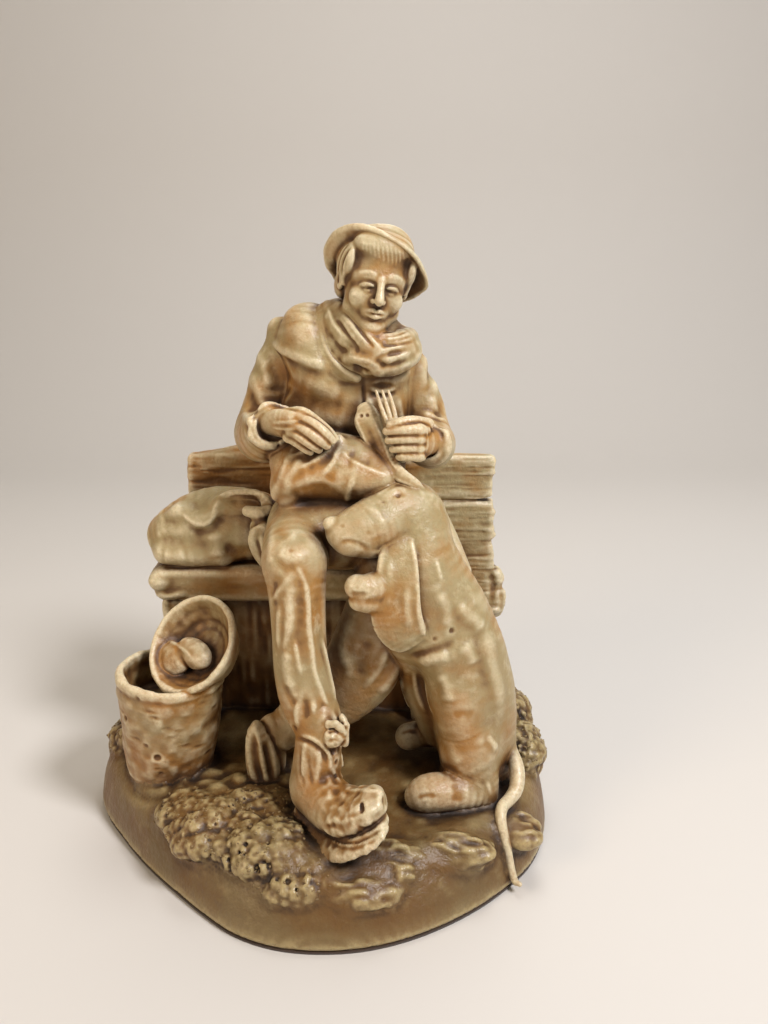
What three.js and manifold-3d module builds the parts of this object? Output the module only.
// A cast table figurine: a tramp seated on a plank bench with a dog at his knee, a pot with a can in it, a
// bundle, and rough ground on a smooth-sided base. Millimetres, +Z up, the viewer looks along +Y, and the
// origin lies under the middle of the base. Left and right in the names are the man's own.
// Each piece is cast by itself and luted to its neighbours: a piece runs into what carries it, and is cut
// back by it with one joint gap.

import * as THREE from "three";
import { mergeVertices } from "three/addons/utils/BufferGeometryUtils.js";
import Module from "manifold-3d";

const wasm = await Module();
wasm.setup();

// Joints, felt and base
const JOINT_GAP = 0.3;
const FELT_THICKNESS = 1.2;
const FELT_INSET = 0.5;
const BASE_WIDTH = 184;
const BASE_DEPTH = 162;
const FOOT_HEIGHT = 3;
const FOOT_INSET = 0.4;
const RIM_INSETS = [0, 3, 7, 13];
const RIM_STEEPNESS_FRONT = 3;
const RIM_STEEPNESS_REAR = 8;
const GROUND_HEIGHT = 24.5;
const GROUND_INSET = 24;

// Bench
const SEAT_TOP = 97;
const SEAT_THICKNESS = 16;
const SEAT_FRONT = 20;
const SEAT_LEFT = -69;
const SEAT_RIGHT = 58;
const BACK_FACE = 48;
const PLANK_THICKNESS = 9;
const BACK_LEFT = -58;
const BACK_RIGHT = 77;
const BACK_RISE = 41;
const CRACK_RISE = 20.5;
const CRACK_WIDTH = 0.6;
const BACK_DROP = 36;
const SUPPORT_WIDTH = 16;
const SUPPORT_SETBACK = 5;
const SUPPORT_SPREAD = 105;
const SUPPORT_MIDDLE = -4.5;
const WALL_SETBACK = 14;

// Pot, the can tipped in it, and the bun in the can
const POT_X = -56.5;
const POT_Y = -6;
const POT_RADIUS = 21;
const POT_FOOT_RADIUS = 17;
const POT_LEAN_DEG = 4.5;
const POT_HEIGHT = 41;
const POT_WALL = 2.8;
const POT_DEPTH = 16;
const CAN_RADIUS = 19.2;
const CAN_FOOT_RADIUS = 13;
const CAN_LENGTH = 15;
const CAN_WALL = 2.2;
const CAN_DEPTH = 10;
const CAN_TIP_DEG = 50;
const CAN_TURN_DEG = 36;
const CAN_MOUTH_X = 8.5;
const CAN_MOUTH_Y = -3;
const CAN_MOUTH_RISE = 12;
const BUN_RADIUS = 7;
const BUN_THICKNESS = 4;

// The man
const MAN_X = 9;
const BACK_ROOM = 4.5;
const THIGH_REACH_RIGHT = 43;
const THIGH_REACH_LEFT = 29;
const KNEE_OUT_RIGHT = 15.5;
const KNEE_OUT_LEFT = 19;
const BOOT_REACH_RIGHT = 54;
const BOOT_REACH_LEFT = 32;
const LAP_WIDTH = 54;
const LAP_HEIGHT = 36;
const TORSO_WIDTH = 52;
const TORSO_DEPTH = 38;
const TORSO_LENGTH = 82;
const HEAD_WIDTH = 25;
const HEAD_DEPTH = 26;
const HEAD_HEIGHT = 31;
const NECK_RADIUS = 8;
const HAT_RADIUS = 19.2;
const HAT_BRIM = 2.2;
const HAT_BRIM_RISE = 4.2;
const HAT_BRIM_DIP = 1.6;
const HAT_BRIM_TURN_DEG = 135;
const HAT_CROWN_RADIUS = 12.6;
const HAT_CROWN_HEIGHT = 10.8;
const HAT_TIP_DEG = 32;
const SLEEVE_RADIUS = 10;
const CUFF_RADIUS = 9.6;
const HAND_THICKNESS = 6;
const FIST_WIDTH = 17;
const FORK_LENGTH = 30;
const STRAP_WIDTH = 10;
const STRAP_THICKNESS = 2.6;
const LEG_RADIUS = 10.8;
const KNEE_RISE = 15;
const BOOT_WIDTH = 18;
const SHAFT_RADIUS = 8.6;

// The dog
const DOG_BODY_WIDTH = 34;
const DOG_BODY_DEPTH = 29;
const DOG_HEAD_RADIUS = 10.8;
const MUZZLE_RADIUS = 8.4;
const EAR_WIDTH = 15;
const EAR_THICKNESS = 4;
const FOREPAW_RADIUS = 4.6;
const HAUNCH_RADIUS = 10.8;
const HIND_FOOT_RADIUS = 6.5;
const TAIL_RADIUS = 2.3;

const DOG_HEAD_OUT = 5;
const DOG_SEAT_OUT = 25;
const DOG_SEAT_FORWARD = 16;

// Bundle
const BUNDLE_WIDTH = 54;
const BUNDLE_DEPTH = 27;
const BUNDLE_HEIGHT = 33;

// Finish of the cast pieces and of the felt
const CAST = { color: "#c9a877", roughness: 0.5, metalness: 0 };
const FELT = { color: "#3a2a20", roughness: 0.95, metalness: 0 };

const SIDES = 10;
const CAP_RINGS = 2;
const HAT_SIDES = 20;
const OUTLINE_STEPS = 36;

const degrees = (angle) => THREE.MathUtils.degToRad(angle);

// A closed body given by rings of points, from its first pole to its last one.
function ringBody(first, rings, last) {
  const points = [first, ...rings.flat(), last];
  const sides = rings[0].length;
  const index = [];
  const at = (ring, side) => 1 + ring * sides + (side % sides);
  for (let side = 0; side < sides; side++) {
    index.push(0, at(0, side + 1), at(0, side));
    for (let ring = 0; ring + 1 < rings.length; ring++) {
      index.push(at(ring, side), at(ring, side + 1), at(ring + 1, side));
      index.push(at(ring, side + 1), at(ring + 1, side + 1), at(ring + 1, side));
    }
    index.push(points.length - 1, at(rings.length - 1, side), at(rings.length - 1, side + 1));
  }
  const geometry = new THREE.BufferGeometry().setFromPoints(points);
  geometry.setIndex(index);
  return geometry;
}

// A closed solid of a geometry, turned right way out.
function solidOf(geometry) {
  const plain = geometry.clone();
  plain.deleteAttribute("normal");
  plain.deleteAttribute("uv");
  const merged = mergeVertices(plain, 1e-4);
  const vertProperties = new Float32Array(merged.attributes.position.array);
  const triVerts = new Uint32Array(merged.index.array);
  let body = new wasm.Manifold(new wasm.Mesh({ numProp: 3, vertProperties, triVerts }));
  if (body.volume() < 0) {
    triVerts.reverse();
    body = new wasm.Manifold(new wasm.Mesh({ numProp: 3, vertProperties, triVerts }));
  }
  return body;
}

// A tapering body along a smooth path. A station is [x, y, z, half width, half thickness]: the half width
// lies square to the path and to across, and the thickness square to both. Its ends are rounded.
function limb(stations, across, grow, options = {}) {
  const { caps = [0.7, 0.7], sides = SIDES } = options;
  const steps = options.steps ?? Math.min(stations.length * 2 - 2, stations.length + 2);
  const path = new THREE.CatmullRomCurve3(stations.map(([x, y, z]) => new THREE.Vector3(x, y, z)));
  const sizes = new THREE.CatmullRomCurve3(stations.map((s) => new THREE.Vector3(s[3], s[4], 0)));
  const reference = new THREE.Vector3(...across);
  const ring = (t, scale, shift) => {
    const along = path.getTangent(t);
    const side = new THREE.Vector3().crossVectors(along, reference).normalize();
    const up = new THREE.Vector3().crossVectors(side, along).normalize();
    const size = sizes.getPoint(t);
    const middle = path.getPoint(t).addScaledVector(along, shift);
    return Array.from({ length: sides }, (_, i) => {
      const angle = (i / sides) * Math.PI * 2;
      return middle
        .clone()
        .addScaledVector(side, Math.cos(angle) * (size.x + grow) * scale)
        .addScaledVector(up, Math.sin(angle) * (size.y + grow) * scale);
    });
  };
  const reach = (t) => {
    const size = sizes.getPoint(t);
    return Math.min(size.x, size.y) * caps[t] + grow;
  };
  const rings = [];
  for (let i = 1; i <= CAP_RINGS; i++) {
    const angle = (i / (CAP_RINGS + 1)) * (Math.PI / 2);
    rings.push(ring(0, Math.sin(angle), -reach(0) * Math.cos(angle)));
  }
  for (let i = 0; i <= steps; i++) rings.push(ring(i / steps, 1, 0));
  for (let i = CAP_RINGS; i >= 1; i--) {
    const angle = (i / (CAP_RINGS + 1)) * (Math.PI / 2);
    rings.push(ring(1, Math.sin(angle), reach(1) * Math.cos(angle)));
  }
  const pole = (t, sign) => path.getPoint(t).addScaledVector(path.getTangent(t), sign * reach(t));
  return solidOf(ringBody(pole(0, -1), rings, pole(1, 1)));
}

// A limb with a sharp bend at one of its stations: two limbs that meet there in a round joint.
function bentLimb(stations, bend, across, grow, end = 0.2) {
  const upper = limb(stations.slice(0, bend + 1), across, grow, { caps: [0.9, 0.9] });
  const lower = limb(stations.slice(bend), across, grow, { caps: [0.9, end] });
  return upper.add(lower);
}

// An egg shape with its three half sizes, turned about X, then Y, then Z.
function blob([x, y, z], [a, b, c], grow, turn = [0, 0, 0], detail = [12, 8]) {
  const geometry = new THREE.SphereGeometry(1, ...detail);
  const place = new THREE.Matrix4().compose(
    new THREE.Vector3(x, y, z),
    new THREE.Quaternion().setFromEuler(new THREE.Euler(...turn.map(degrees), "ZYX")),
    new THREE.Vector3(a + grow, b + grow, c + grow),
  );
  return solidOf(geometry.applyMatrix4(place));
}

// A turned shape from its profile of [radius, height], moved by a matrix.
function turned(profile, place, sides = 24) {
  const points = profile.map(([radius, height]) => new THREE.Vector2(radius, height));
  const geometry = new THREE.LatheGeometry(points, sides).rotateX(Math.PI / 2);
  return solidOf(geometry.applyMatrix4(place));
}

// A board seen from the front, from its corners as [x, z, corner radius], with its front face at y.
function board(corners, y, thickness, grow) {
  const shape = new THREE.Shape();
  const count = corners.length;
  corners.forEach(([x, z, radius], i) => {
    const corner = new THREE.Vector2(x, z);
    const towards = (other) => {
      const [ox, oz] = corners[(other + count) % count];
      return new THREE.Vector2(ox - x, oz - z).normalize().multiplyScalar(radius).add(corner);
    };
    const before = towards(i - 1);
    const after = towards(i + 1);
    if (i === 0) shape.moveTo(before.x, before.y);
    else shape.lineTo(before.x, before.y);
    shape.quadraticCurveTo(x, z, after.x, after.y);
  });
  shape.closePath();
  const bevel = {
    depth: thickness - 2,
    bevelEnabled: true,
    bevelThickness: 1 + grow,
    bevelSize: grow > 0 ? grow : 0,
    bevelOffset: 0,
    bevelSegments: 1,
    curveSegments: 4,
    steps: 1,
  };
  const geometry = new THREE.ExtrudeGeometry(shape, bevel);
  geometry.rotateX(Math.PI / 2).translate(0, y + thickness - 1, 0);
  return solidOf(geometry);
}

const group = new THREE.Group();
const carried = [];

function touches(a, b) {
  const first = a.boundingBox();
  const second = b.boundingBox();
  return [0, 1, 2].every((k) => first.min[k] <= second.max[k] && second.min[k] <= first.max[k]);
}

// Adds a piece: make(grow) gives its solid, swollen by grow. What stands already cuts it back by one joint.
function piece(name, finish, make) {
  let body = make(0);
  for (const neighbour of carried) {
    if (touches(body, neighbour)) body = body.subtract(neighbour);
  }
  body = body.decompose().reduce((best, part) => (part.volume() > best.volume() ? part : best));
  carried.push(make(JOINT_GAP));
  const { vertProperties, triVerts } = body.getMesh();
  const geometry = new THREE.BufferGeometry();
  geometry.setAttribute("position", new THREE.BufferAttribute(vertProperties, 3));
  geometry.setIndex(new THREE.BufferAttribute(triVerts, 1));
  geometry.computeVertexNormals();
  const mesh = new THREE.Mesh(geometry, new THREE.MeshStandardMaterial(finish));
  mesh.name = name;
  group.add(mesh);
}

// Base: the outline of its foot, as seen from above, fitted to its width and depth.
const OUTLINE = [
  [-92, 4], [-73, -27], [-46, -55], [-20, -75], [2, -80], [24, -78], [46, -69], [67, -54], [84, -34],
  [92, -4], [88, 28], [68, 56], [30, 76], [-18, 80], [-60, 62], [-85, 32],
];
const outlineCurve = new THREE.CatmullRomCurve3(
  OUTLINE.map(([x, y]) => new THREE.Vector3(x, y, 0)),
  true,
  "centripetal",
);
const outlinePoints = outlineCurve.getSpacedPoints(OUTLINE_STEPS).slice(0, OUTLINE_STEPS);
const outlineBox = new THREE.Box3().setFromPoints(outlinePoints);
const outlineSize = outlineBox.getSize(new THREE.Vector3());
const outlineMiddle = outlineBox.getCenter(new THREE.Vector3());

// The outline drawn in by inset, at a height that may follow from the front to the rear.
function outline(inset, height) {
  return outlinePoints.map((point) => {
    const x = (point.x - outlineMiddle.x) / outlineSize.x;
    const y = (point.y - outlineMiddle.y) / outlineSize.y;
    const rear = THREE.MathUtils.smoothstep(y, -0.42, -0.05);
    const wide = BASE_WIDTH - 2 * inset;
    const deep = BASE_DEPTH - 2 * inset;
    return new THREE.Vector3(x * wide, y * deep, height(rear));
  });
}

const baseFoot = FELT_THICKNESS + JOINT_GAP;
piece("felt_pad", FELT, (grow) =>
  solidOf(
    ringBody(
      new THREE.Vector3(0, 0, 0),
      [
        outline(FELT_INSET, () => 0),
        outline(FELT_INSET - grow, () => FELT_THICKNESS + grow),
      ],
      new THREE.Vector3(0, 0, FELT_THICKNESS + grow),
    ),
  ),
);

// The top rises from the foot to the ground in a round rim, steeper at the rear.
const rimHeight = (inset, rear) => {
  const steepness = THREE.MathUtils.lerp(RIM_STEEPNESS_FRONT, RIM_STEEPNESS_REAR, rear);
  return FOOT_HEIGHT + (GROUND_HEIGHT - FOOT_HEIGHT) * (1 - (1 - inset / GROUND_INSET) ** steepness);
};
piece("base_mound", CAST, (grow) =>
  solidOf(
    ringBody(
      new THREE.Vector3(0, 0, baseFoot - grow),
      [
        outline(FOOT_INSET - grow, () => baseFoot - grow),
        ...RIM_INSETS.map((inset) => {
          const raise = inset > 0 ? grow : 0;
          return outline(inset - grow, (rear) => rimHeight(inset, rear) + raise);
        }),
        outline(GROUND_INSET, () => GROUND_HEIGHT + grow),
      ],
      new THREE.Vector3(0, 0, GROUND_HEIGHT + grow),
    ),
  ),
);

// Rocks and turf, as lumps bedded in the ground: [x, y, height above the ground, half sizes]
const baseFront = -BASE_DEPTH / 2;
const baseSide = BASE_WIDTH / 2;
const ROCKS = {
  rocks_front_left: [
    [-34, baseFront + 37, -4, 17, 14, 8.5],
    [-14, baseFront + 26, -4.5, 16, 13, 9],
    [-20, baseFront + 47, -4, 14, 10, 7],
    [-48, baseFront + 47, -4, 10, 9, 6],
  ],
  rocks_rear_left: [
    [12 - baseSide, 14, -1, 9, 14, 8],
    [22 - baseSide, 30, -1, 12, 14, 10],
  ],
  rocks_rear_right: [
    [baseSide - 9, 2, 0, 8, 14, 9],
    [baseSide - 14, 26, 1, 12, 16, 12],
  ],
  turf_under_boot: [
    [8, baseFront + 19, -7, 13, 8, 7],
    [29, baseFront + 20, -7, 13, 8, 8],
  ],
  turf_right: [
    [50, baseFront + 28, -6, 16, 8, 6],
    [72, baseFront + 39, -5, 10, 9, 5],
  ],
};
for (const [name, lumps] of Object.entries(ROCKS)) {
  piece(name, CAST, (grow) =>
    lumps
      .map(([x, y, rise, a, b, c]) => blob([x, y, GROUND_HEIGHT + rise], [a, b, c], grow, [0, 0, 0], [10, 7]))
      .reduce((sum, lump) => sum.add(lump)),
  );
}

// Bench: two supports with a wall between them, the seat on them, and a back of two planks behind the seat
const seatBottom = SEAT_TOP - SEAT_THICKNESS;
const supportTop = seatBottom - JOINT_GAP;
const supportFront = SEAT_FRONT + SUPPORT_SETBACK;
for (const [name, side] of [["bench_support_right", -1], ["bench_support_left", 1]]) {
  const middle = SUPPORT_MIDDLE + (side * SUPPORT_SPREAD) / 2;
  const left = middle - SUPPORT_WIDTH / 2;
  const right = middle + SUPPORT_WIDTH / 2;
  const corners = [
    [left - 2, GROUND_HEIGHT - 2, 1],
    [right + 2, GROUND_HEIGHT - 2, 1],
    [right, supportTop, 1],
    [left, supportTop, 1],
  ];
  piece(name, CAST, (grow) =>
    board(corners, supportFront, BACK_FACE - JOINT_GAP - supportFront, grow),
  );
}

const wallLeft = SUPPORT_MIDDLE - (SUPPORT_SPREAD - SUPPORT_WIDTH) / 2;
const wallRight = SUPPORT_MIDDLE + (SUPPORT_SPREAD - SUPPORT_WIDTH) / 2;
piece("bench_wall", CAST, (grow) =>
  board(
    [
      [wallLeft - 2, GROUND_HEIGHT - 2, 1],
      [wallRight + 2, GROUND_HEIGHT - 2, 1],
      [wallRight + 2, supportTop, 1],
      [wallLeft - 2, supportTop, 1],
    ],
    SEAT_FRONT + WALL_SETBACK,
    BACK_FACE - JOINT_GAP - SEAT_FRONT - WALL_SETBACK,
    grow,
  ),
);

piece("bench_seat", CAST, (grow) =>
  board(
    [
      [SEAT_LEFT - 2, seatBottom, 3],
      [SEAT_RIGHT, seatBottom, 3],
      [SEAT_RIGHT, SEAT_TOP, 4],
      [SEAT_LEFT, SEAT_TOP, 4],
    ],
    SEAT_FRONT,
    BACK_FACE - JOINT_GAP - SEAT_FRONT,
    grow,
  ),
);

const crack = SEAT_TOP + CRACK_RISE;
const PLANKS = {
  bench_lower_plank: [
    [BACK_LEFT + 3, SEAT_TOP - BACK_DROP, 3],
    [BACK_RIGHT + 1, SEAT_TOP - BACK_DROP, 5],
    [BACK_RIGHT, crack - CRACK_WIDTH / 2, 1],
    [BACK_LEFT, crack - CRACK_WIDTH / 2, 1],
  ],
  bench_upper_plank: [
    [BACK_LEFT, crack + CRACK_WIDTH / 2, 1],
    [BACK_RIGHT, crack + CRACK_WIDTH / 2, 1],
    [BACK_RIGHT - 2, SEAT_TOP + BACK_RISE, 5],
    [BACK_LEFT - 1, SEAT_TOP + BACK_RISE, 2],
  ],
};
for (const [name, corners] of Object.entries(PLANKS)) {
  piece(name, CAST, (grow) => board(corners, BACK_FACE, PLANK_THICKNESS, grow));
}

// Pot, with the can tipped forward in it and a split bun in the can
const upright = new THREE.Matrix4()
  .makeTranslation(POT_X, POT_Y, GROUND_HEIGHT + POT_HEIGHT)
  .multiply(new THREE.Matrix4().makeRotationY(degrees(POT_LEAN_DEG)))
  .multiply(new THREE.Matrix4().makeTranslation(0, 0, -POT_HEIGHT));
piece("pot", CAST, (grow) => {
  const outer = POT_RADIUS + grow;
  const inner = POT_RADIUS - POT_WALL - grow;
  const floor = POT_HEIGHT - POT_DEPTH + grow;
  return turned(
    [
      [0, -2 - grow],
      [POT_FOOT_RADIUS - 1 + grow, -2 - grow],
      [POT_FOOT_RADIUS + grow, 2],
      [POT_FOOT_RADIUS + 1 + grow, POT_HEIGHT * 0.3],
      [outer - 1, POT_HEIGHT - 9],
      [outer - 1.2, POT_HEIGHT - 4.6],
      [outer - 0.4, POT_HEIGHT - 2.8],
      [outer - 0.4, POT_HEIGHT + grow],
      [inner + 0.4, POT_HEIGHT + grow],
      [inner, POT_HEIGHT - 3],
      [inner - 1, floor + 2],
      [inner - 3, floor],
      [0, floor],
    ],
    upright,
  );
});

const canPlace = new THREE.Matrix4()
  .makeTranslation(POT_X + CAN_MOUTH_X, POT_Y + CAN_MOUTH_Y, GROUND_HEIGHT + POT_HEIGHT + CAN_MOUTH_RISE)
  .multiply(new THREE.Matrix4().makeRotationZ(degrees(-CAN_TURN_DEG)))
  .multiply(new THREE.Matrix4().makeRotationX(degrees(CAN_TIP_DEG)));
piece("inner_can", CAST, (grow) => {
  const floor = grow - CAN_DEPTH;
  const inner = CAN_RADIUS - CAN_WALL - grow;
  return turned(
    [
      [0, -CAN_LENGTH - grow],
      [CAN_FOOT_RADIUS - 2 + grow, -CAN_LENGTH - grow],
      [CAN_FOOT_RADIUS + grow, -CAN_LENGTH + 2],
      [CAN_RADIUS - 1 + grow, -4],
      [CAN_RADIUS + grow, -1.5],
      [CAN_RADIUS - 0.6 + grow, grow],
      [inner + 0.6, grow],
      [inner, -1.5],
      [CAN_FOOT_RADIUS - 1 - grow, floor + 2],
      [CAN_FOOT_RADIUS - 4, floor],
      [0, floor],
    ],
    canPlace,
  );
});

piece("bun", CAST, (grow) => {
  const half = (x, y, width) => {
    const middle = new THREE.Vector3(x, y, BUN_THICKNESS - CAN_DEPTH).applyMatrix4(canPlace);
    return blob(middle.toArray(), [BUN_RADIUS, width, BUN_THICKNESS], grow, [CAN_TIP_DEG, 0, -CAN_TURN_DEG]);
  };
  return half(-5.6, -3.6, BUN_RADIUS - 2).add(half(2.4, -2.2, BUN_RADIUS - 1.2));
});

// The man's trousers: the full lap on the seat, and a leg from it to each boot
const torsoY = BACK_FACE - BACK_ROOM - TORSO_DEPTH / 2 + 1.5;
piece("trouser_lap", CAST, (grow) => {
  const seat = limb(
    [
      [MAN_X, BACK_FACE - 13, SEAT_TOP + 15, LAP_WIDTH / 2 - 1, LAP_HEIGHT / 2 - 3],
      [MAN_X, SEAT_FRONT + 2, SEAT_TOP + 19, LAP_WIDTH / 2, LAP_HEIGHT / 2 + 1],
      [MAN_X - 1, SEAT_FRONT - 12, SEAT_TOP + 23, LAP_WIDTH / 2 - 1, LAP_HEIGHT / 2 - 1],
      [MAN_X - 1, SEAT_FRONT - 23, SEAT_TOP + 23, LAP_WIDTH / 2 - 3, LAP_HEIGHT / 2 - 5],
    ],
    [0, 0, 1],
    grow,
  );
  const belly = limb(
    [
      [MAN_X - 16, SEAT_FRONT - 17, SEAT_TOP + 49, 8, 8],
      [MAN_X - 5, SEAT_FRONT - 19, SEAT_TOP + 51, 9, 9],
      [MAN_X + 6, SEAT_FRONT - 19, SEAT_TOP + 50, 8.5, 8.5],
      [MAN_X + 15, SEAT_FRONT - 16, SEAT_TOP + 48, 8, 8],
    ],
    [0, 0, 1],
    grow,
  );
  const fold = limb(
    [
      [MAN_X - 15, SEAT_FRONT - 25, SEAT_TOP + 42, 8, 10],
      [MAN_X - 5, SEAT_FRONT - 27, SEAT_TOP + 44, 8.5, 11],
      [MAN_X + 5, SEAT_FRONT - 27, SEAT_TOP + 43, 8.5, 11],
      [MAN_X + 15, SEAT_FRONT - 24, SEAT_TOP + 41, 8, 10],
    ],
    [0, 1, 0],
    grow,
  );
  return seat.add(belly).add(fold);
});

const kneeTop = SEAT_TOP + KNEE_RISE;
const rightKnee = { x: MAN_X - KNEE_OUT_RIGHT, y: SEAT_FRONT - THIGH_REACH_RIGHT };
const rightAnkle = { x: MAN_X - 7, y: SEAT_FRONT - BOOT_REACH_RIGHT, z: GROUND_HEIGHT + 39 };
piece("right_trouser_leg", CAST, (grow) =>
  bentLimb(
    [
      [MAN_X - 12, SEAT_FRONT - 4, kneeTop + 7, LEG_RADIUS + 3, LEG_RADIUS + 3],
      [MAN_X - 14, SEAT_FRONT - 18, kneeTop + 8, LEG_RADIUS + 2, LEG_RADIUS + 2],
      [rightKnee.x + 0.6, rightKnee.y, kneeTop + 3.5, LEG_RADIUS, LEG_RADIUS],
      [rightKnee.x + 2, rightKnee.y - 4, kneeTop - 12, LEG_RADIUS - 1, LEG_RADIUS - 1],
      [rightAnkle.x - 5.6, rightAnkle.y + 4, rightAnkle.z + 16, LEG_RADIUS - 1, LEG_RADIUS - 1.5],
      [rightAnkle.x - 4, rightAnkle.y + 2, rightAnkle.z + 7, LEG_RADIUS - 0.8, LEG_RADIUS - 1.4],
      [rightAnkle.x - 0.5, rightAnkle.y - 0.5, rightAnkle.z - 3, LEG_RADIUS - 1.6, LEG_RADIUS - 2.2],
    ],
    2,
    [1, 0, 0],
    grow,
  ),
);

const leftKnee = { x: MAN_X + KNEE_OUT_LEFT, y: SEAT_FRONT - THIGH_REACH_LEFT };
const leftAnkle = { x: MAN_X - 14, y: SEAT_FRONT - BOOT_REACH_LEFT, z: GROUND_HEIGHT + 18 };
piece("left_trouser_leg", CAST, (grow) =>
  bentLimb(
    [
      [MAN_X + 13, SEAT_FRONT - 4, kneeTop + 5, LEG_RADIUS + 2, LEG_RADIUS + 2],
      [leftKnee.x, leftKnee.y, kneeTop - 2, LEG_RADIUS + 1, LEG_RADIUS],
      [leftKnee.x - 3, leftKnee.y - 1, kneeTop - 17, LEG_RADIUS + 1.7, LEG_RADIUS - 0.8],
      [leftKnee.x - 7, leftKnee.y - 2, kneeTop - 32, LEG_RADIUS + 3.2, LEG_RADIUS - 1.2],
      [leftKnee.x - 11, leftKnee.y - 2, kneeTop - 44, LEG_RADIUS + 4.2, LEG_RADIUS - 1.6],
      [leftAnkle.x + 13, leftAnkle.y + 1, leftAnkle.z + 14.5, LEG_RADIUS + 2.7, LEG_RADIUS - 2.2],
      [leftAnkle.x + 3, leftAnkle.y + 1, leftAnkle.z + 7.5, LEG_RADIUS, LEG_RADIUS - 2.8],
      [leftAnkle.x - 9, leftAnkle.y, leftAnkle.z - 1.5, LEG_RADIUS - 3.3, LEG_RADIUS - 3.8],
    ],
    1,
    [0, 1, 0],
    grow,
  ),
);

// Boots: the right one flat with its toe out, the left one behind it on its side, its sole to the front
const toeTurn = [-0.42, -0.1, 0.9];
piece("right_boot", CAST, (grow) => {
  const shaft = limb(
    [
      [rightAnkle.x + 1, rightAnkle.y - 2, rightAnkle.z - 1, SHAFT_RADIUS - 1.2, SHAFT_RADIUS - 1.2],
      [rightAnkle.x, rightAnkle.y - 4, GROUND_HEIGHT + 21, SHAFT_RADIUS, SHAFT_RADIUS],
      [rightAnkle.x - 0.8, rightAnkle.y - 6, GROUND_HEIGHT + 11, SHAFT_RADIUS, SHAFT_RADIUS],
    ],
    [0, 1, 0],
    grow,
  );
  const upper = limb(
    [
      [rightAnkle.x - 0.7, rightAnkle.y - 7, GROUND_HEIGHT + 12, BOOT_WIDTH / 2, 8.4],
      [rightAnkle.x + 7.7, rightAnkle.y - 17, GROUND_HEIGHT + 10, BOOT_WIDTH / 2 + 0.2, 7.4],
      [rightAnkle.x + 12.6, rightAnkle.y - 21.5, GROUND_HEIGHT + 11.7, BOOT_WIDTH / 2 + 0.4, 6.6],
      [rightAnkle.x + 17.1, rightAnkle.y - 25, GROUND_HEIGHT + 15.3, BOOT_WIDTH / 2 - 0.2, 5.8],
      [rightAnkle.x + 20, rightAnkle.y - 27, GROUND_HEIGHT + 18.5, BOOT_WIDTH / 2 - 2, 5],
    ],
    toeTurn,
    grow,
  );
  const sole = limb(
    [
      [rightAnkle.x - 2.3, rightAnkle.y - 7, GROUND_HEIGHT + 3.4, BOOT_WIDTH / 2 - 2, 4.6],
      [rightAnkle.x + 7.1, rightAnkle.y - 20, GROUND_HEIGHT + 1.9, BOOT_WIDTH / 2, 3],
      [rightAnkle.x + 13.2, rightAnkle.y - 26, GROUND_HEIGHT + 5.4, BOOT_WIDTH / 2 + 0.4, 2.7],
      [rightAnkle.x + 19.3, rightAnkle.y - 30, GROUND_HEIGHT + 11.4, BOOT_WIDTH / 2 - 0.4, 2.4],
      [rightAnkle.x + 22.6, rightAnkle.y - 31, GROUND_HEIGHT + 14.4, BOOT_WIDTH / 2 - 2.6, 2],
    ],
    toeTurn,
    grow,
  );
  return shaft.add(upper).add(sole);
});

piece("left_boot", CAST, (grow) => {
  const heel = limb(
    [
      [leftAnkle.x - 12, leftAnkle.y - 1, leftAnkle.z, 6, 6],
      [leftAnkle.x - 14, leftAnkle.y - 1, GROUND_HEIGHT + 4, 6.4, 6.4],
    ],
    [0, 1, 0],
    grow,
  );
  const sole = limb(
    [
      [leftAnkle.x - 17.6, leftAnkle.y - 6, leftAnkle.z + 4.5, 2.2, 3.4],
      [leftAnkle.x - 17, leftAnkle.y - 6.5, leftAnkle.z, 4.8, 4],
      [leftAnkle.x - 16, leftAnkle.y - 7, GROUND_HEIGHT + 8, 6.4, 4],
      [leftAnkle.x - 15, leftAnkle.y - 7.5, GROUND_HEIGHT - 1, 6, 4],
    ],
    [0, 1, 0],
    grow,
  );
  return heel.add(sole);
});

piece("ankle_rag", CAST, (grow) =>
  blob([rightAnkle.x + 6.5, rightAnkle.y - 8.6, rightAnkle.z - 5.4], [4.4, 3.8, 4.6], grow),
);

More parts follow.
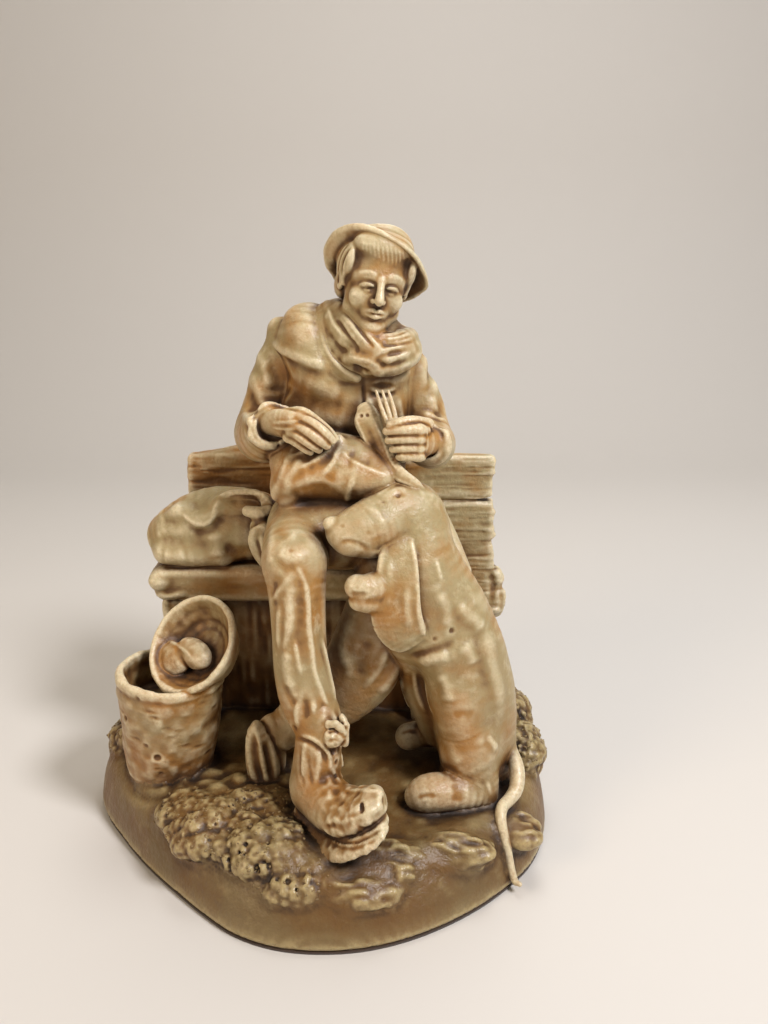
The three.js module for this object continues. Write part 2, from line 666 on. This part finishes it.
// Jacket: the body, its turned collar, the two sleeves, and the kerchief at the neck
const torsoFoot = SEAT_TOP + 18;
const torsoAt = (share) => torsoFoot + share * TORSO_LENGTH;
const neck = { x: MAN_X + 7, y: torsoY - 2, z: torsoAt(0.97) };
piece("jacket_body", CAST, (grow) => {
  const trunk = limb(
    [
      [MAN_X, torsoY + 2, torsoAt(0.04), TORSO_WIDTH / 2 - 0.5, TORSO_DEPTH / 2 - 3],
      [MAN_X + 0.5, torsoY, torsoAt(0.26), TORSO_WIDTH / 2 - 1, TORSO_DEPTH / 2 - 1.5],
      [MAN_X + 1, torsoY - 0.5, torsoAt(0.45), TORSO_WIDTH / 2 - 0.5, TORSO_DEPTH / 2],
      [MAN_X + 2.5, torsoY - 0.5, torsoAt(0.65), TORSO_WIDTH / 2, TORSO_DEPTH / 2 + 1.5],
      [MAN_X + 3.5, torsoY + 1, torsoAt(0.8), TORSO_WIDTH / 2 - 1, TORSO_DEPTH / 2 - 1],
      [MAN_X + 5, torsoY + 2, torsoAt(0.91), TORSO_WIDTH / 2 - 8, TORSO_DEPTH / 2 - 6],
    ],
    [0, 1, 0],
    grow,
    { caps: [0.3, 0.9], steps: 8, sides: 14 },
  );
  const shoulders = limb(
    [
      [MAN_X - 18, torsoY + 2, torsoAt(0.87), 9.5, 9.5],
      [MAN_X - 7, torsoY + 1, torsoAt(0.915), 10.5, 10.5],
      [MAN_X + 5, torsoY - 1, torsoAt(0.915), 12, 12],
      [MAN_X + 19, torsoY, torsoAt(0.84), 10, 10],
    ],
    [0, 0, 1],
    grow,
    { caps: [0.9, 0.9] },
  );
  const chest = blob([MAN_X + 10, torsoY - 7, torsoAt(0.805)], [14, 14, 12], grow);
  const fold = limb(
    [
      [MAN_X - 8.3, torsoY - 9, torsoAt(1.01), 5, 5],
      [MAN_X - 10, torsoY - 13, torsoAt(0.925), 6, 6],
      [MAN_X - 8, torsoY - 15, torsoAt(0.825), 6, 6],
    ],
    [0, 1, 0],
    grow,
  );
  return trunk.add(shoulders).add(chest).add(fold);
});

const head = { x: neck.x + 6.5, y: neck.y - 12.5, z: neck.z + 15.3 };
piece("head", CAST, (grow) => {
  const skull = blob(
    [head.x, head.y + 1, head.z + 4.6],
    [HEAD_WIDTH / 2 + 1, HEAD_DEPTH / 2 + 0.4, HEAD_HEIGHT / 2 - 2.6],
    grow,
    [9, 10, 12],
  );
  const jaw = blob(
    [head.x - 1, head.y - 3, head.z - 4.5],
    [HEAD_WIDTH / 2 - 2.2, HEAD_DEPTH / 2 - 2.2, HEAD_HEIGHT / 2 - 5],
    grow,
    [9, 10, 12],
  );
  const noseAt = [head.x - 2, head.y - HEAD_DEPTH / 2 - 1.4, head.z - 2];
  const nose = blob(noseAt, [1.8, 2.2, 3.2], grow, [9, 10, 12], [10, 8]);
  const throat = limb(
    [
      [neck.x + 4, neck.y - 6, neck.z - 5, NECK_RADIUS + 0.6, NECK_RADIUS + 0.6],
      [head.x, head.y + 3, head.z - 7, NECK_RADIUS, NECK_RADIUS],
    ],
    [0, 1, 0],
    grow,
  );
  return skull.add(jaw).add(nose).add(throat);
});

const hatPlace = new THREE.Matrix4()
  .makeTranslation(head.x + 1.8, head.y + 3.5, head.z + 6)
  .multiply(new THREE.Matrix4().makeRotationY(degrees(11)))
  .multiply(new THREE.Matrix4().makeRotationX(degrees(-HAT_TIP_DEG)));
// The brim is turned up at the front at the man's right and falls at his left.
const brimLift = (angle) => {
  const swung = angle + degrees(HAT_BRIM_TURN_DEG);
  return HAT_BRIM_RISE * Math.cos(swung) + Math.cos(2 * swung) - HAT_BRIM_DIP;
};
piece("hat", CAST, (grow) => {
  const ring = (radius, height, share) =>
    Array.from({ length: HAT_SIDES }, (_, i) => {
      const angle = (i / HAT_SIDES) * Math.PI * 2;
      const lift = height + share * brimLift(angle);
      const point = new THREE.Vector3(radius * Math.cos(angle), radius * Math.sin(angle), lift);
      return point.applyMatrix4(hatPlace);
    });
  const pole = (height) => new THREE.Vector3(0, 0, height).applyMatrix4(hatPlace);
  const felt = HAT_BRIM / 2 + grow;
  return solidOf(
    ringBody(
      pole(-felt),
      [
        ring(HAT_CROWN_RADIUS - 1, -felt, 0.05),
        ring(HAT_RADIUS - 1 + grow, -felt, 1),
        ring(HAT_RADIUS + grow, 0, 1),
        ring(HAT_RADIUS - 1 + grow, felt, 1),
        ring(HAT_CROWN_RADIUS + grow, felt + 0.3, 0.15),
        ring(HAT_CROWN_RADIUS - 1.6 + grow, HAT_CROWN_HEIGHT - 3.2, 0),
        ring(HAT_CROWN_RADIUS - 4, HAT_CROWN_HEIGHT - 0.6 + grow, 0),
      ],
      pole(HAT_CROWN_HEIGHT + grow),
    ),
  );
});

piece("neckerchief", CAST, (grow) => {
  const twist = limb(
    [
      [neck.x - 6, neck.y - 11, neck.z + 5, 4.5, 2.6],
      [neck.x - 2, neck.y - 19, neck.z - 1, 6, 2.8],
      [neck.x + 2, neck.y - 22, neck.z - 6, 6.4, 3],
      [neck.x + 7, neck.y - 23.5, neck.z - 10.5, 5.6, 3],
    ],
    [0, 1, 0.3],
    grow,
  );
  const wrap = limb(
    [
      [neck.x + 5, neck.y - 20, neck.z - 5, 4, 4],
      [neck.x + 11, neck.y - 20, neck.z - 7, 6, 5],
      [neck.x + 17.6, neck.y - 16, neck.z - 7, 6, 5.4],
      [neck.x + 20, neck.y - 9, neck.z - 5.4, 5, 4.6],
      [neck.x + 19, neck.y + 3, neck.z - 5.5, 4.4, 3.6],
    ],
    [0, 1, 0],
    grow,
  );
  const collar = limb(
    [
      [neck.x - 14, neck.y + 6, neck.z + 1, 4.4, 3.2],
      [neck.x - 6, neck.y + 11, neck.z + 1.5, 4.4, 3.4],
      [neck.x + 6, neck.y + 13, neck.z - 1, 4.4, 3.4],
      [neck.x + 17, neck.y + 10, neck.z - 5, 4.2, 3.2],
    ],
    [0, 0, 1],
    grow,
  );
  const knot = limb(
    [
      [neck.x - 3, neck.y - 21, neck.z - 11, 1.2, 1.2],
      [neck.x + 3, neck.y - 25, neck.z - 12, 2, 2],
      [neck.x + 9, neck.y - 25, neck.z - 14, 1.6, 1.6],
    ],
    [0, 1, 0],
    grow,
    { sides: 8 },
  );
  return twist.add(wrap).add(collar).add(knot);
});

piece("jacket_lapel", CAST, (grow) =>
  limb(
    [
      [neck.x - 12.7, neck.y - 6.5, neck.z + 7, 2.4, 1.8],
      [neck.x - 14.6, neck.y - 10.5, neck.z + 1.6, 4.2, 1.8],
      [neck.x - 14.6, neck.y - 14.2, neck.z - 5.3, 4.8, 1.8],
      [neck.x - 12, neck.y - 16.4, neck.z - 11.7, 4.4, 1.7],
      [neck.x - 6.4, neck.y - 18.4, neck.z - 16.3, 3.6, 1.5],
      [neck.x + 0.5, neck.y - 19.4, neck.z - 18.6, 1.6, 1.2],
    ],
    [0.45, 1, 0.1],
    grow,
  ),
);

const shoulderRise = torsoAt(0.8);
const elbowRise = torsoAt(0.42);
const rightCuff = { x: MAN_X - 23.6, y: torsoY - 24, z: torsoAt(0.54) };
piece("right_sleeve", CAST, (grow) =>
  bentLimb(
    [
      [MAN_X - 17.5, torsoY + 2, shoulderRise + 6, SLEEVE_RADIUS + 0.4, SLEEVE_RADIUS + 0.4],
      [MAN_X - 22, torsoY + 1.5, shoulderRise - 3.6, SLEEVE_RADIUS + 0.6, SLEEVE_RADIUS + 0.6],
      [MAN_X - 26.6, torsoY + 1, shoulderRise - 14.6, SLEEVE_RADIUS + 0.6, SLEEVE_RADIUS + 0.6],
      [MAN_X - 29.7, torsoY - 3.5, elbowRise + 3.2, SLEEVE_RADIUS + 0.8, SLEEVE_RADIUS + 0.8],
      [MAN_X - 27.6, torsoY - 14, elbowRise + 4.6, SLEEVE_RADIUS + 0.4, SLEEVE_RADIUS + 0.4],
      [rightCuff.x - 0.8, rightCuff.y + 1, rightCuff.z - 0.4, CUFF_RADIUS - 0.6, CUFF_RADIUS - 0.6],
    ],
    3,
    [1, 0, 0],
    grow,
  ),
);

const leftCuff = { x: MAN_X + 34.6, y: torsoY - 23, z: torsoAt(0.46) };
piece("left_sleeve", CAST, (grow) =>
  bentLimb(
    [
      [MAN_X + 21.5, torsoY + 1, shoulderRise - 0.6, SLEEVE_RADIUS, SLEEVE_RADIUS],
      [MAN_X + 26.5, torsoY + 2, shoulderRise - 10.6, SLEEVE_RADIUS, SLEEVE_RADIUS],
      [MAN_X + 31.5, torsoY + 1.5, shoulderRise - 21.6, SLEEVE_RADIUS, SLEEVE_RADIUS],
      [MAN_X + 33.1, torsoY - 3, elbowRise + 1, SLEEVE_RADIUS, SLEEVE_RADIUS],
      [MAN_X + 34.8, torsoY - 14, elbowRise + 1, SLEEVE_RADIUS - 0.6, SLEEVE_RADIUS - 0.6],
      [leftCuff.x, leftCuff.y, leftCuff.z, CUFF_RADIUS - 1.6, CUFF_RADIUS - 1.6],
    ],
    3,
    [1, 0, 0],
    grow,
  ),
);

// Hands: the right one pinches the raised cloth of the lap, the left one is a fist round a fork
piece("right_hand", CAST, (grow) =>
  limb(
    [
      [rightCuff.x - 1.5, rightCuff.y, rightCuff.z + 1.2, 5, HAND_THICKNESS - 2],
      [rightCuff.x + 4.4, rightCuff.y - 5.4, rightCuff.z + 2, 5.8, HAND_THICKNESS - 2],
      [rightCuff.x + 9, rightCuff.y - 9, rightCuff.z + 1.6, 6.4, HAND_THICKNESS - 2.5],
      [rightCuff.x + 14.6, rightCuff.y - 13.6, rightCuff.z - 1, 5.6, HAND_THICKNESS - 3.6],
      [rightCuff.x + 20, rightCuff.y - 14.6, rightCuff.z - 4, 3.6, HAND_THICKNESS - 4],
    ],
    [0.2, 1, 0.3],
    grow,
  ),
);

const fist = { x: leftCuff.x - 9, y: leftCuff.y - 7.6, z: leftCuff.z + 1.4 };
piece("left_hand", CAST, (grow) =>
  blob([fist.x, fist.y, fist.z], [FIST_WIDTH / 2, HAND_THICKNESS + 0.6, FIST_WIDTH / 2 - 1], grow, [0, 4, 0]),
);

piece("fork", CAST, (grow) =>
  limb(
    [
      [fist.x - 3, fist.y - 0.4, fist.z + FORK_LENGTH * 0.04, 1.6, 1.4],
      [fist.x - 5.6, fist.y + 0.2, fist.z + FORK_LENGTH * 0.26, 2.2, 1.5],
      [fist.x - 7.4, fist.y + 2.6, fist.z + FORK_LENGTH * 0.41, 2.9, 1.6],
      [fist.x - 8.8, fist.y + 4.6, fist.z + FORK_LENGTH * 0.55, 2.8, 1.5],
    ],
    [0, 1, 0],
    grow,
    { sides: 10 },
  ),
);

const chestFront = torsoY - TORSO_DEPTH / 2 - 2;
piece("brace_strap", CAST, (grow) =>
  limb(
    [
      [MAN_X + 9.6, chestFront - 3, torsoAt(0.61), STRAP_WIDTH / 2 - 2.6, STRAP_THICKNESS / 2],
      [MAN_X + 11, chestFront - 4.4, torsoAt(0.585), STRAP_WIDTH / 2, STRAP_THICKNESS / 2],
      [MAN_X + 13, chestFront - 6.4, torsoAt(0.51), STRAP_WIDTH / 2 - 0.3, STRAP_THICKNESS / 2],
      [MAN_X + 16.4, chestFront - 9.4, torsoAt(0.415), STRAP_WIDTH / 2 - 0.9, STRAP_THICKNESS / 2],
      [MAN_X + 19.1, chestFront - 12, torsoAt(0.373), STRAP_WIDTH / 2 - 1.4, STRAP_THICKNESS / 2],
      [MAN_X + 23.2, chestFront - 15, torsoAt(0.349), STRAP_WIDTH / 2 - 2.1, STRAP_THICKNESS / 2],
      [MAN_X + 27.4, chestFront - 17, torsoAt(0.327), STRAP_WIDTH / 2 - 3, STRAP_THICKNESS / 2],
    ],
    [0, 1, 0.1],
    grow,
  ),
);

// The dog sits beside the left knee, its chin on the knee and its back to the right
const dogHead = { x: leftKnee.x + DOG_HEAD_OUT, y: leftKnee.y + 1, z: kneeTop + 17.4 };
const dogSeat = GROUND_HEIGHT + 12;
const dogWide = DOG_BODY_WIDTH / 2;
const dogDeep = DOG_BODY_DEPTH / 2;
piece("dog_body", CAST, (grow) => {
  const trunk = limb(
    [
      [dogHead.x + 5.2, dogHead.y + 1, dogHead.z - 2.2, dogWide - 7.4, dogDeep - 4.9],
      [dogHead.x + 7.8, dogHead.y - 1, dogHead.z - 13.2, dogWide - 6.4, dogDeep - 3],
      [dogHead.x + 12, dogHead.y - 2, dogHead.z - 24.5, dogWide - 4.4, dogDeep - 1.7],
      [dogHead.x + 16.7, dogHead.y - 3, dogHead.z - 35.7, dogWide - 2.8, dogDeep - 0.9],
      [dogHead.x + 20.5, dogHead.y - 4, dogSeat + 46, dogWide - 1.2, dogDeep - 0.3],
      [dogHead.x + 23.4, dogHead.y - 5, dogSeat + 35, dogWide - 0.2, dogDeep],
      [dogHead.x + 26, dogHead.y - 6, dogSeat + 24, dogWide - 0.4, dogDeep],
      [dogHead.x + 28, dogHead.y - 6, dogSeat + 12.7, dogWide - 1, dogDeep - 0.5],
      [dogHead.x + 29, dogHead.y - 5, dogSeat + 0.7, dogWide - 1.6, dogDeep - 1.1],
      [dogHead.x + 29.5, dogHead.y - 4, dogSeat - 8.6, dogWide - 2.6, dogDeep - 2.5],
    ],
    [0, 1, 0],
    grow,
    { caps: [0.8, 0.5], steps: 11, sides: 14 },
  );
  const chest = limb(
    [
      [dogHead.x + 1.6, dogHead.y - 6, dogHead.z - 18.2, 9, 9],
      [dogHead.x + 0.6, dogHead.y - 9, dogHead.z - 30.2, 10, 10],
      [dogHead.x + 1.9, dogHead.y - 9, dogHead.z - 42.5, 9.6, 9.6],
      [dogHead.x + 4.5, dogHead.y - 4, dogHead.z - 54.4, 8, 8],
    ],
    [0, 1, 0],
    grow,
  );
  const belly = limb(
    [
      [dogHead.x + 3.7, dogHead.y, dogSeat + 29.7, 6, 6],
      [dogHead.x + 9.7, dogHead.y + 2, dogSeat + 12.9, 6.4, 6.4],
      [dogHead.x + 13.7, dogHead.y + 4, dogSeat, 6, 6],
    ],
    [0, 1, 0],
    grow,
  );
  const thigh = limb(
    [
      [dogHead.x + 17.5, dogHead.y - 10, dogSeat + 38.6, 9, 9],
      [dogHead.x + 19.9, dogHead.y - 14, dogSeat + 27.6, 9.4, 9.4],
      [dogHead.x + 21.5, dogHead.y - 16, dogSeat + 17.7, 9, 9],
    ],
    [0, 1, 0],
    grow,
  );
  return trunk.add(chest).add(belly).add(thigh);
});

piece("dog_head", CAST, (grow) => {
  const skull = limb(
    [
      [dogHead.x, dogHead.y, dogHead.z, DOG_HEAD_RADIUS, DOG_HEAD_RADIUS],
      [dogHead.x - 8.4, dogHead.y - 6.5, dogHead.z - 1.4, DOG_HEAD_RADIUS - 0.4, DOG_HEAD_RADIUS - 0.4],
      [dogHead.x - 13.4, dogHead.y - 9.5, dogHead.z - 2.7, MUZZLE_RADIUS + 1, MUZZLE_RADIUS + 1],
      [dogHead.x - 17.6, dogHead.y - 11.5, dogHead.z - 3.7, MUZZLE_RADIUS, MUZZLE_RADIUS],
      [dogHead.x - 20.8, dogHead.y - 13, dogHead.z - 3.4, MUZZLE_RADIUS - 1.8, MUZZLE_RADIUS - 1.8],
      [dogHead.x - 23, dogHead.y - 13.6, dogHead.z - 2.1, MUZZLE_RADIUS - 3.6, MUZZLE_RADIUS - 3.6],
    ],
    [0, 0, 1],
    grow,
    { caps: [0.95, 0.95], steps: 9 },
  );
  const jowl = limb(
    [
      [dogHead.x - 11, dogHead.y - 10, dogHead.z - 9.6, 5.4, 4],
      [dogHead.x - 18.7, dogHead.y - 13, dogHead.z - 7.4, 4.4, 3.6],
    ],
    [0, 0, 1],
    grow,
    { sides: 10 },
  );
  return skull.add(jowl);
});

piece("dog_foreleg", CAST, (grow) => {
  const toe = (rise, forward, radius) =>
    limb(
      [
        [dogHead.x - 16.4, dogHead.y - forward, dogHead.z - rise, radius, radius],
        [dogHead.x - 13, dogHead.y - forward, dogHead.z - rise, radius + 0.4, radius + 0.4],
        [dogHead.x - 7.4, dogHead.y - forward + 3, dogHead.z - rise - 0.4, radius + 1.2, radius + 1.2],
        [dogHead.x - 1.4, dogHead.y - forward + 9, dogHead.z - rise - 1.6, radius + 1.4, radius + 1.4],
      ],
      [0, 0, 1],
      grow,
      { caps: [0.9, 0.7], sides: 10 },
    );
  return toe(21.2, 20, FOREPAW_RADIUS - 0.2).add(toe(26.4, 19.6, FOREPAW_RADIUS - 0.8));
});

piece("dog_ear", CAST, (grow) =>
  limb(
    [
      [dogHead.x - 0.6, dogHead.y - 9.9, dogHead.z - 2, EAR_WIDTH / 2 - 4.1, EAR_THICKNESS / 2 - 0.4],
      [dogHead.x - 2.1, dogHead.y - 16.6, dogHead.z - 12.4, EAR_WIDTH / 2 - 0.8, EAR_THICKNESS / 2],
      [dogHead.x - 2.6, dogHead.y - 20, dogHead.z - 22.7, EAR_WIDTH / 2 + 0.2, EAR_THICKNESS / 2],
      [dogHead.x - 2.1, dogHead.y - 20.8, dogHead.z - 33.4, EAR_WIDTH / 2 + 1.1, EAR_THICKNESS / 2],
      [dogHead.x + 0.1, dogHead.y - 20, dogHead.z - 39.3, EAR_WIDTH / 2 + 0.5, EAR_THICKNESS / 2],
      [dogHead.x + 2, dogHead.y - 19, dogHead.z - 42.3, EAR_WIDTH / 2 - 1.5, EAR_THICKNESS / 2 - 0.2],
    ],
    [0, 1, 0.1],
    grow,
  ),
);

const haunch = { x: dogHead.x + DOG_SEAT_OUT, y: dogHead.y - DOG_SEAT_FORWARD, z: GROUND_HEIGHT + 18 };
piece("dog_haunch", CAST, (grow) => {
  const sizes = [HAUNCH_RADIUS, HAUNCH_RADIUS - 0.6, HAUNCH_RADIUS + 0.8];
  const knee = blob([haunch.x - 0.8, haunch.y - 1, haunch.z + 0.7], sizes, grow);
  const shank = limb(
    [
      [haunch.x + 0.9, haunch.y - 2, haunch.z - 5.4, HAUNCH_RADIUS - 1.6, HAUNCH_RADIUS - 1.6],
      [haunch.x + 4.3, haunch.y - 4, haunch.z - 11.9, HAUNCH_RADIUS - 4, HAUNCH_RADIUS - 4],
      [haunch.x + 5.9, haunch.y - 6, haunch.z - 16.3, HAUNCH_RADIUS - 6.2, HAUNCH_RADIUS - 6.2],
    ],
    [0, 1, 0],
    grow,
    { caps: [0.9, 0.9] },
  );
  return knee.add(shank);
});

piece("dog_hind_foot", CAST, (grow) =>
  limb(
    [
      [haunch.x + 4.8, haunch.y - 7, GROUND_HEIGHT + 1.5, HIND_FOOT_RADIUS - 1.9, HIND_FOOT_RADIUS - 1.9],
      [haunch.x - 1.7, haunch.y - 9, GROUND_HEIGHT + 3.7, HIND_FOOT_RADIUS - 0.5, HIND_FOOT_RADIUS - 0.5],
      [haunch.x - 9.8, haunch.y - 10.5, GROUND_HEIGHT + 5.3, HIND_FOOT_RADIUS + 0.5, HIND_FOOT_RADIUS + 0.5],
      [haunch.x - 15.7, haunch.y - 11.5, GROUND_HEIGHT + 5.3, HIND_FOOT_RADIUS + 0.5, HIND_FOOT_RADIUS + 0.5],
      [haunch.x - 19.1, haunch.y - 11.5, GROUND_HEIGHT + 4.2, HIND_FOOT_RADIUS - 1.1, HIND_FOOT_RADIUS - 1.1],
    ],
    [0, 0, 1],
    grow,
    { caps: [0.9, 0.9] },
  ),
);

piece("dog_far_foot", CAST, (grow) =>
  limb(
    [
      [haunch.x - 8.9, haunch.y + 25, GROUND_HEIGHT + 7.9, HIND_FOOT_RADIUS - 0.9, HIND_FOOT_RADIUS - 0.9],
      [haunch.x - 16.1, haunch.y + 23, GROUND_HEIGHT + 8.5, HIND_FOOT_RADIUS - 1.1, HIND_FOOT_RADIUS - 0.6],
      [haunch.x - 22.1, haunch.y + 22, GROUND_HEIGHT + 7.6, HIND_FOOT_RADIUS - 1.1, HIND_FOOT_RADIUS - 0.6],
    ],
    [0, 0, 1],
    grow,
    { caps: [0.9, 0.9] },
  ),
);

piece("dog_tail", CAST, (grow) =>
  limb(
    [
      [haunch.x + 18.6, haunch.y - 1, GROUND_HEIGHT + 8.4, TAIL_RADIUS + 1, TAIL_RADIUS + 1],
      [haunch.x + 17.6, haunch.y - 5.5, GROUND_HEIGHT + 3.6, TAIL_RADIUS + 0.6, TAIL_RADIUS + 0.6],
      [haunch.x + 14.6, haunch.y - 9.5, GROUND_HEIGHT + 0.6, TAIL_RADIUS + 0.2, TAIL_RADIUS + 0.2],
      [haunch.x + 11.4, haunch.y - 13.5, GROUND_HEIGHT + 0.4, TAIL_RADIUS, TAIL_RADIUS],
      [haunch.x + 10.4, haunch.y - 18, GROUND_HEIGHT - 0.2, TAIL_RADIUS - 0.2, TAIL_RADIUS - 0.2],
      [haunch.x + 12, haunch.y - 22.5, GROUND_HEIGHT - 1.6, TAIL_RADIUS - 0.5, TAIL_RADIUS - 0.5],
      [haunch.x + 14.6, haunch.y - 26.5, GROUND_HEIGHT - 4, TAIL_RADIUS - 0.9, TAIL_RADIUS - 0.9],
    ],
    [0, 0, 1],
    grow,
    { caps: [1, 1], sides: 8, steps: 10 },
  ),
);

// Bundle on the seat, with its knotted end towards the man
const bundle = {
  x: SEAT_LEFT + BUNDLE_WIDTH / 2,
  y: BACK_FACE - 1.5 - BUNDLE_DEPTH / 2,
  z: SEAT_TOP + BUNDLE_HEIGHT / 2 - 2,
};
piece("bundle", CAST, (grow) => {
  const roll = limb(
    [
      [bundle.x - 18.5, bundle.y, bundle.z - 4.5, BUNDLE_DEPTH / 2 - 2.5, BUNDLE_HEIGHT / 2 - 5],
      [bundle.x - 10, bundle.y, bundle.z - 1.5, BUNDLE_DEPTH / 2 - 0.5, BUNDLE_HEIGHT / 2 - 1.9],
      [bundle.x, bundle.y, bundle.z, BUNDLE_DEPTH / 2, BUNDLE_HEIGHT / 2 - 0.5],
      [bundle.x + 12, bundle.y, bundle.z, BUNDLE_DEPTH / 2 - 0.3, BUNDLE_HEIGHT / 2 - 1.3],
      [bundle.x + 21, bundle.y - 1, bundle.z - 1, BUNDLE_DEPTH / 2 - 2.5, BUNDLE_HEIGHT / 2 - 3.5],
    ],
    [0, 0, 1],
    grow,
    { caps: [0.8, 0.8], sides: 14 },
  );
  const flap = limb(
    [
      [bundle.x - 1.7, bundle.y - 6, bundle.z + 7.2, 4, 4],
      [bundle.x + 7.2, bundle.y - 7, bundle.z + 10.3, 5, 5],
      [bundle.x + 17.1, bundle.y - 8, bundle.z + 8.9, 5, 5],
    ],
    [0, 0, 1],
    grow,
  );
  return roll.add(flap);
});

piece("bundle_knot", CAST, (grow) =>
  limb(
    [
      [bundle.x + 20, bundle.y - 17, bundle.z + 5.5, 5.2, 4.2],
      [bundle.x + 19.4, bundle.y - 19.4, bundle.z + 0.4, 5, 3.8],
      [bundle.x + 20, bundle.y - 19.6, bundle.z - 5, 4.4, 3.4],
      [bundle.x + 20.4, bundle.y - 19, bundle.z - 10, 3.2, 2.6],
    ],
    [0, 1, 0],
    grow,
  ),
);

piece("bundle_strap", CAST, (grow) =>
  limb(
    [
      [bundle.x + 1.6, bundle.y - 11, bundle.z + 12.1, 2, 1.8],
      [bundle.x + 5.1, bundle.y - 10.4, bundle.z + 15, 2.6, 1.8],
      [bundle.x + 10.1, bundle.y - 10.4, bundle.z + 16, 3, 1.8],
      [bundle.x + 15.5, bundle.y - 11, bundle.z + 15.6, 2.8, 1.8],
      [bundle.x + 19.5, bundle.y - 13.2, bundle.z + 14, 2.4, 1.8],
      [bundle.x + 21.2, bundle.y - 15.2, bundle.z + 10.5, 2.2, 1.8],
    ],
    [0, 1, 0.25],
    grow,
    { sides: 10 },
  ),
);

export default group;
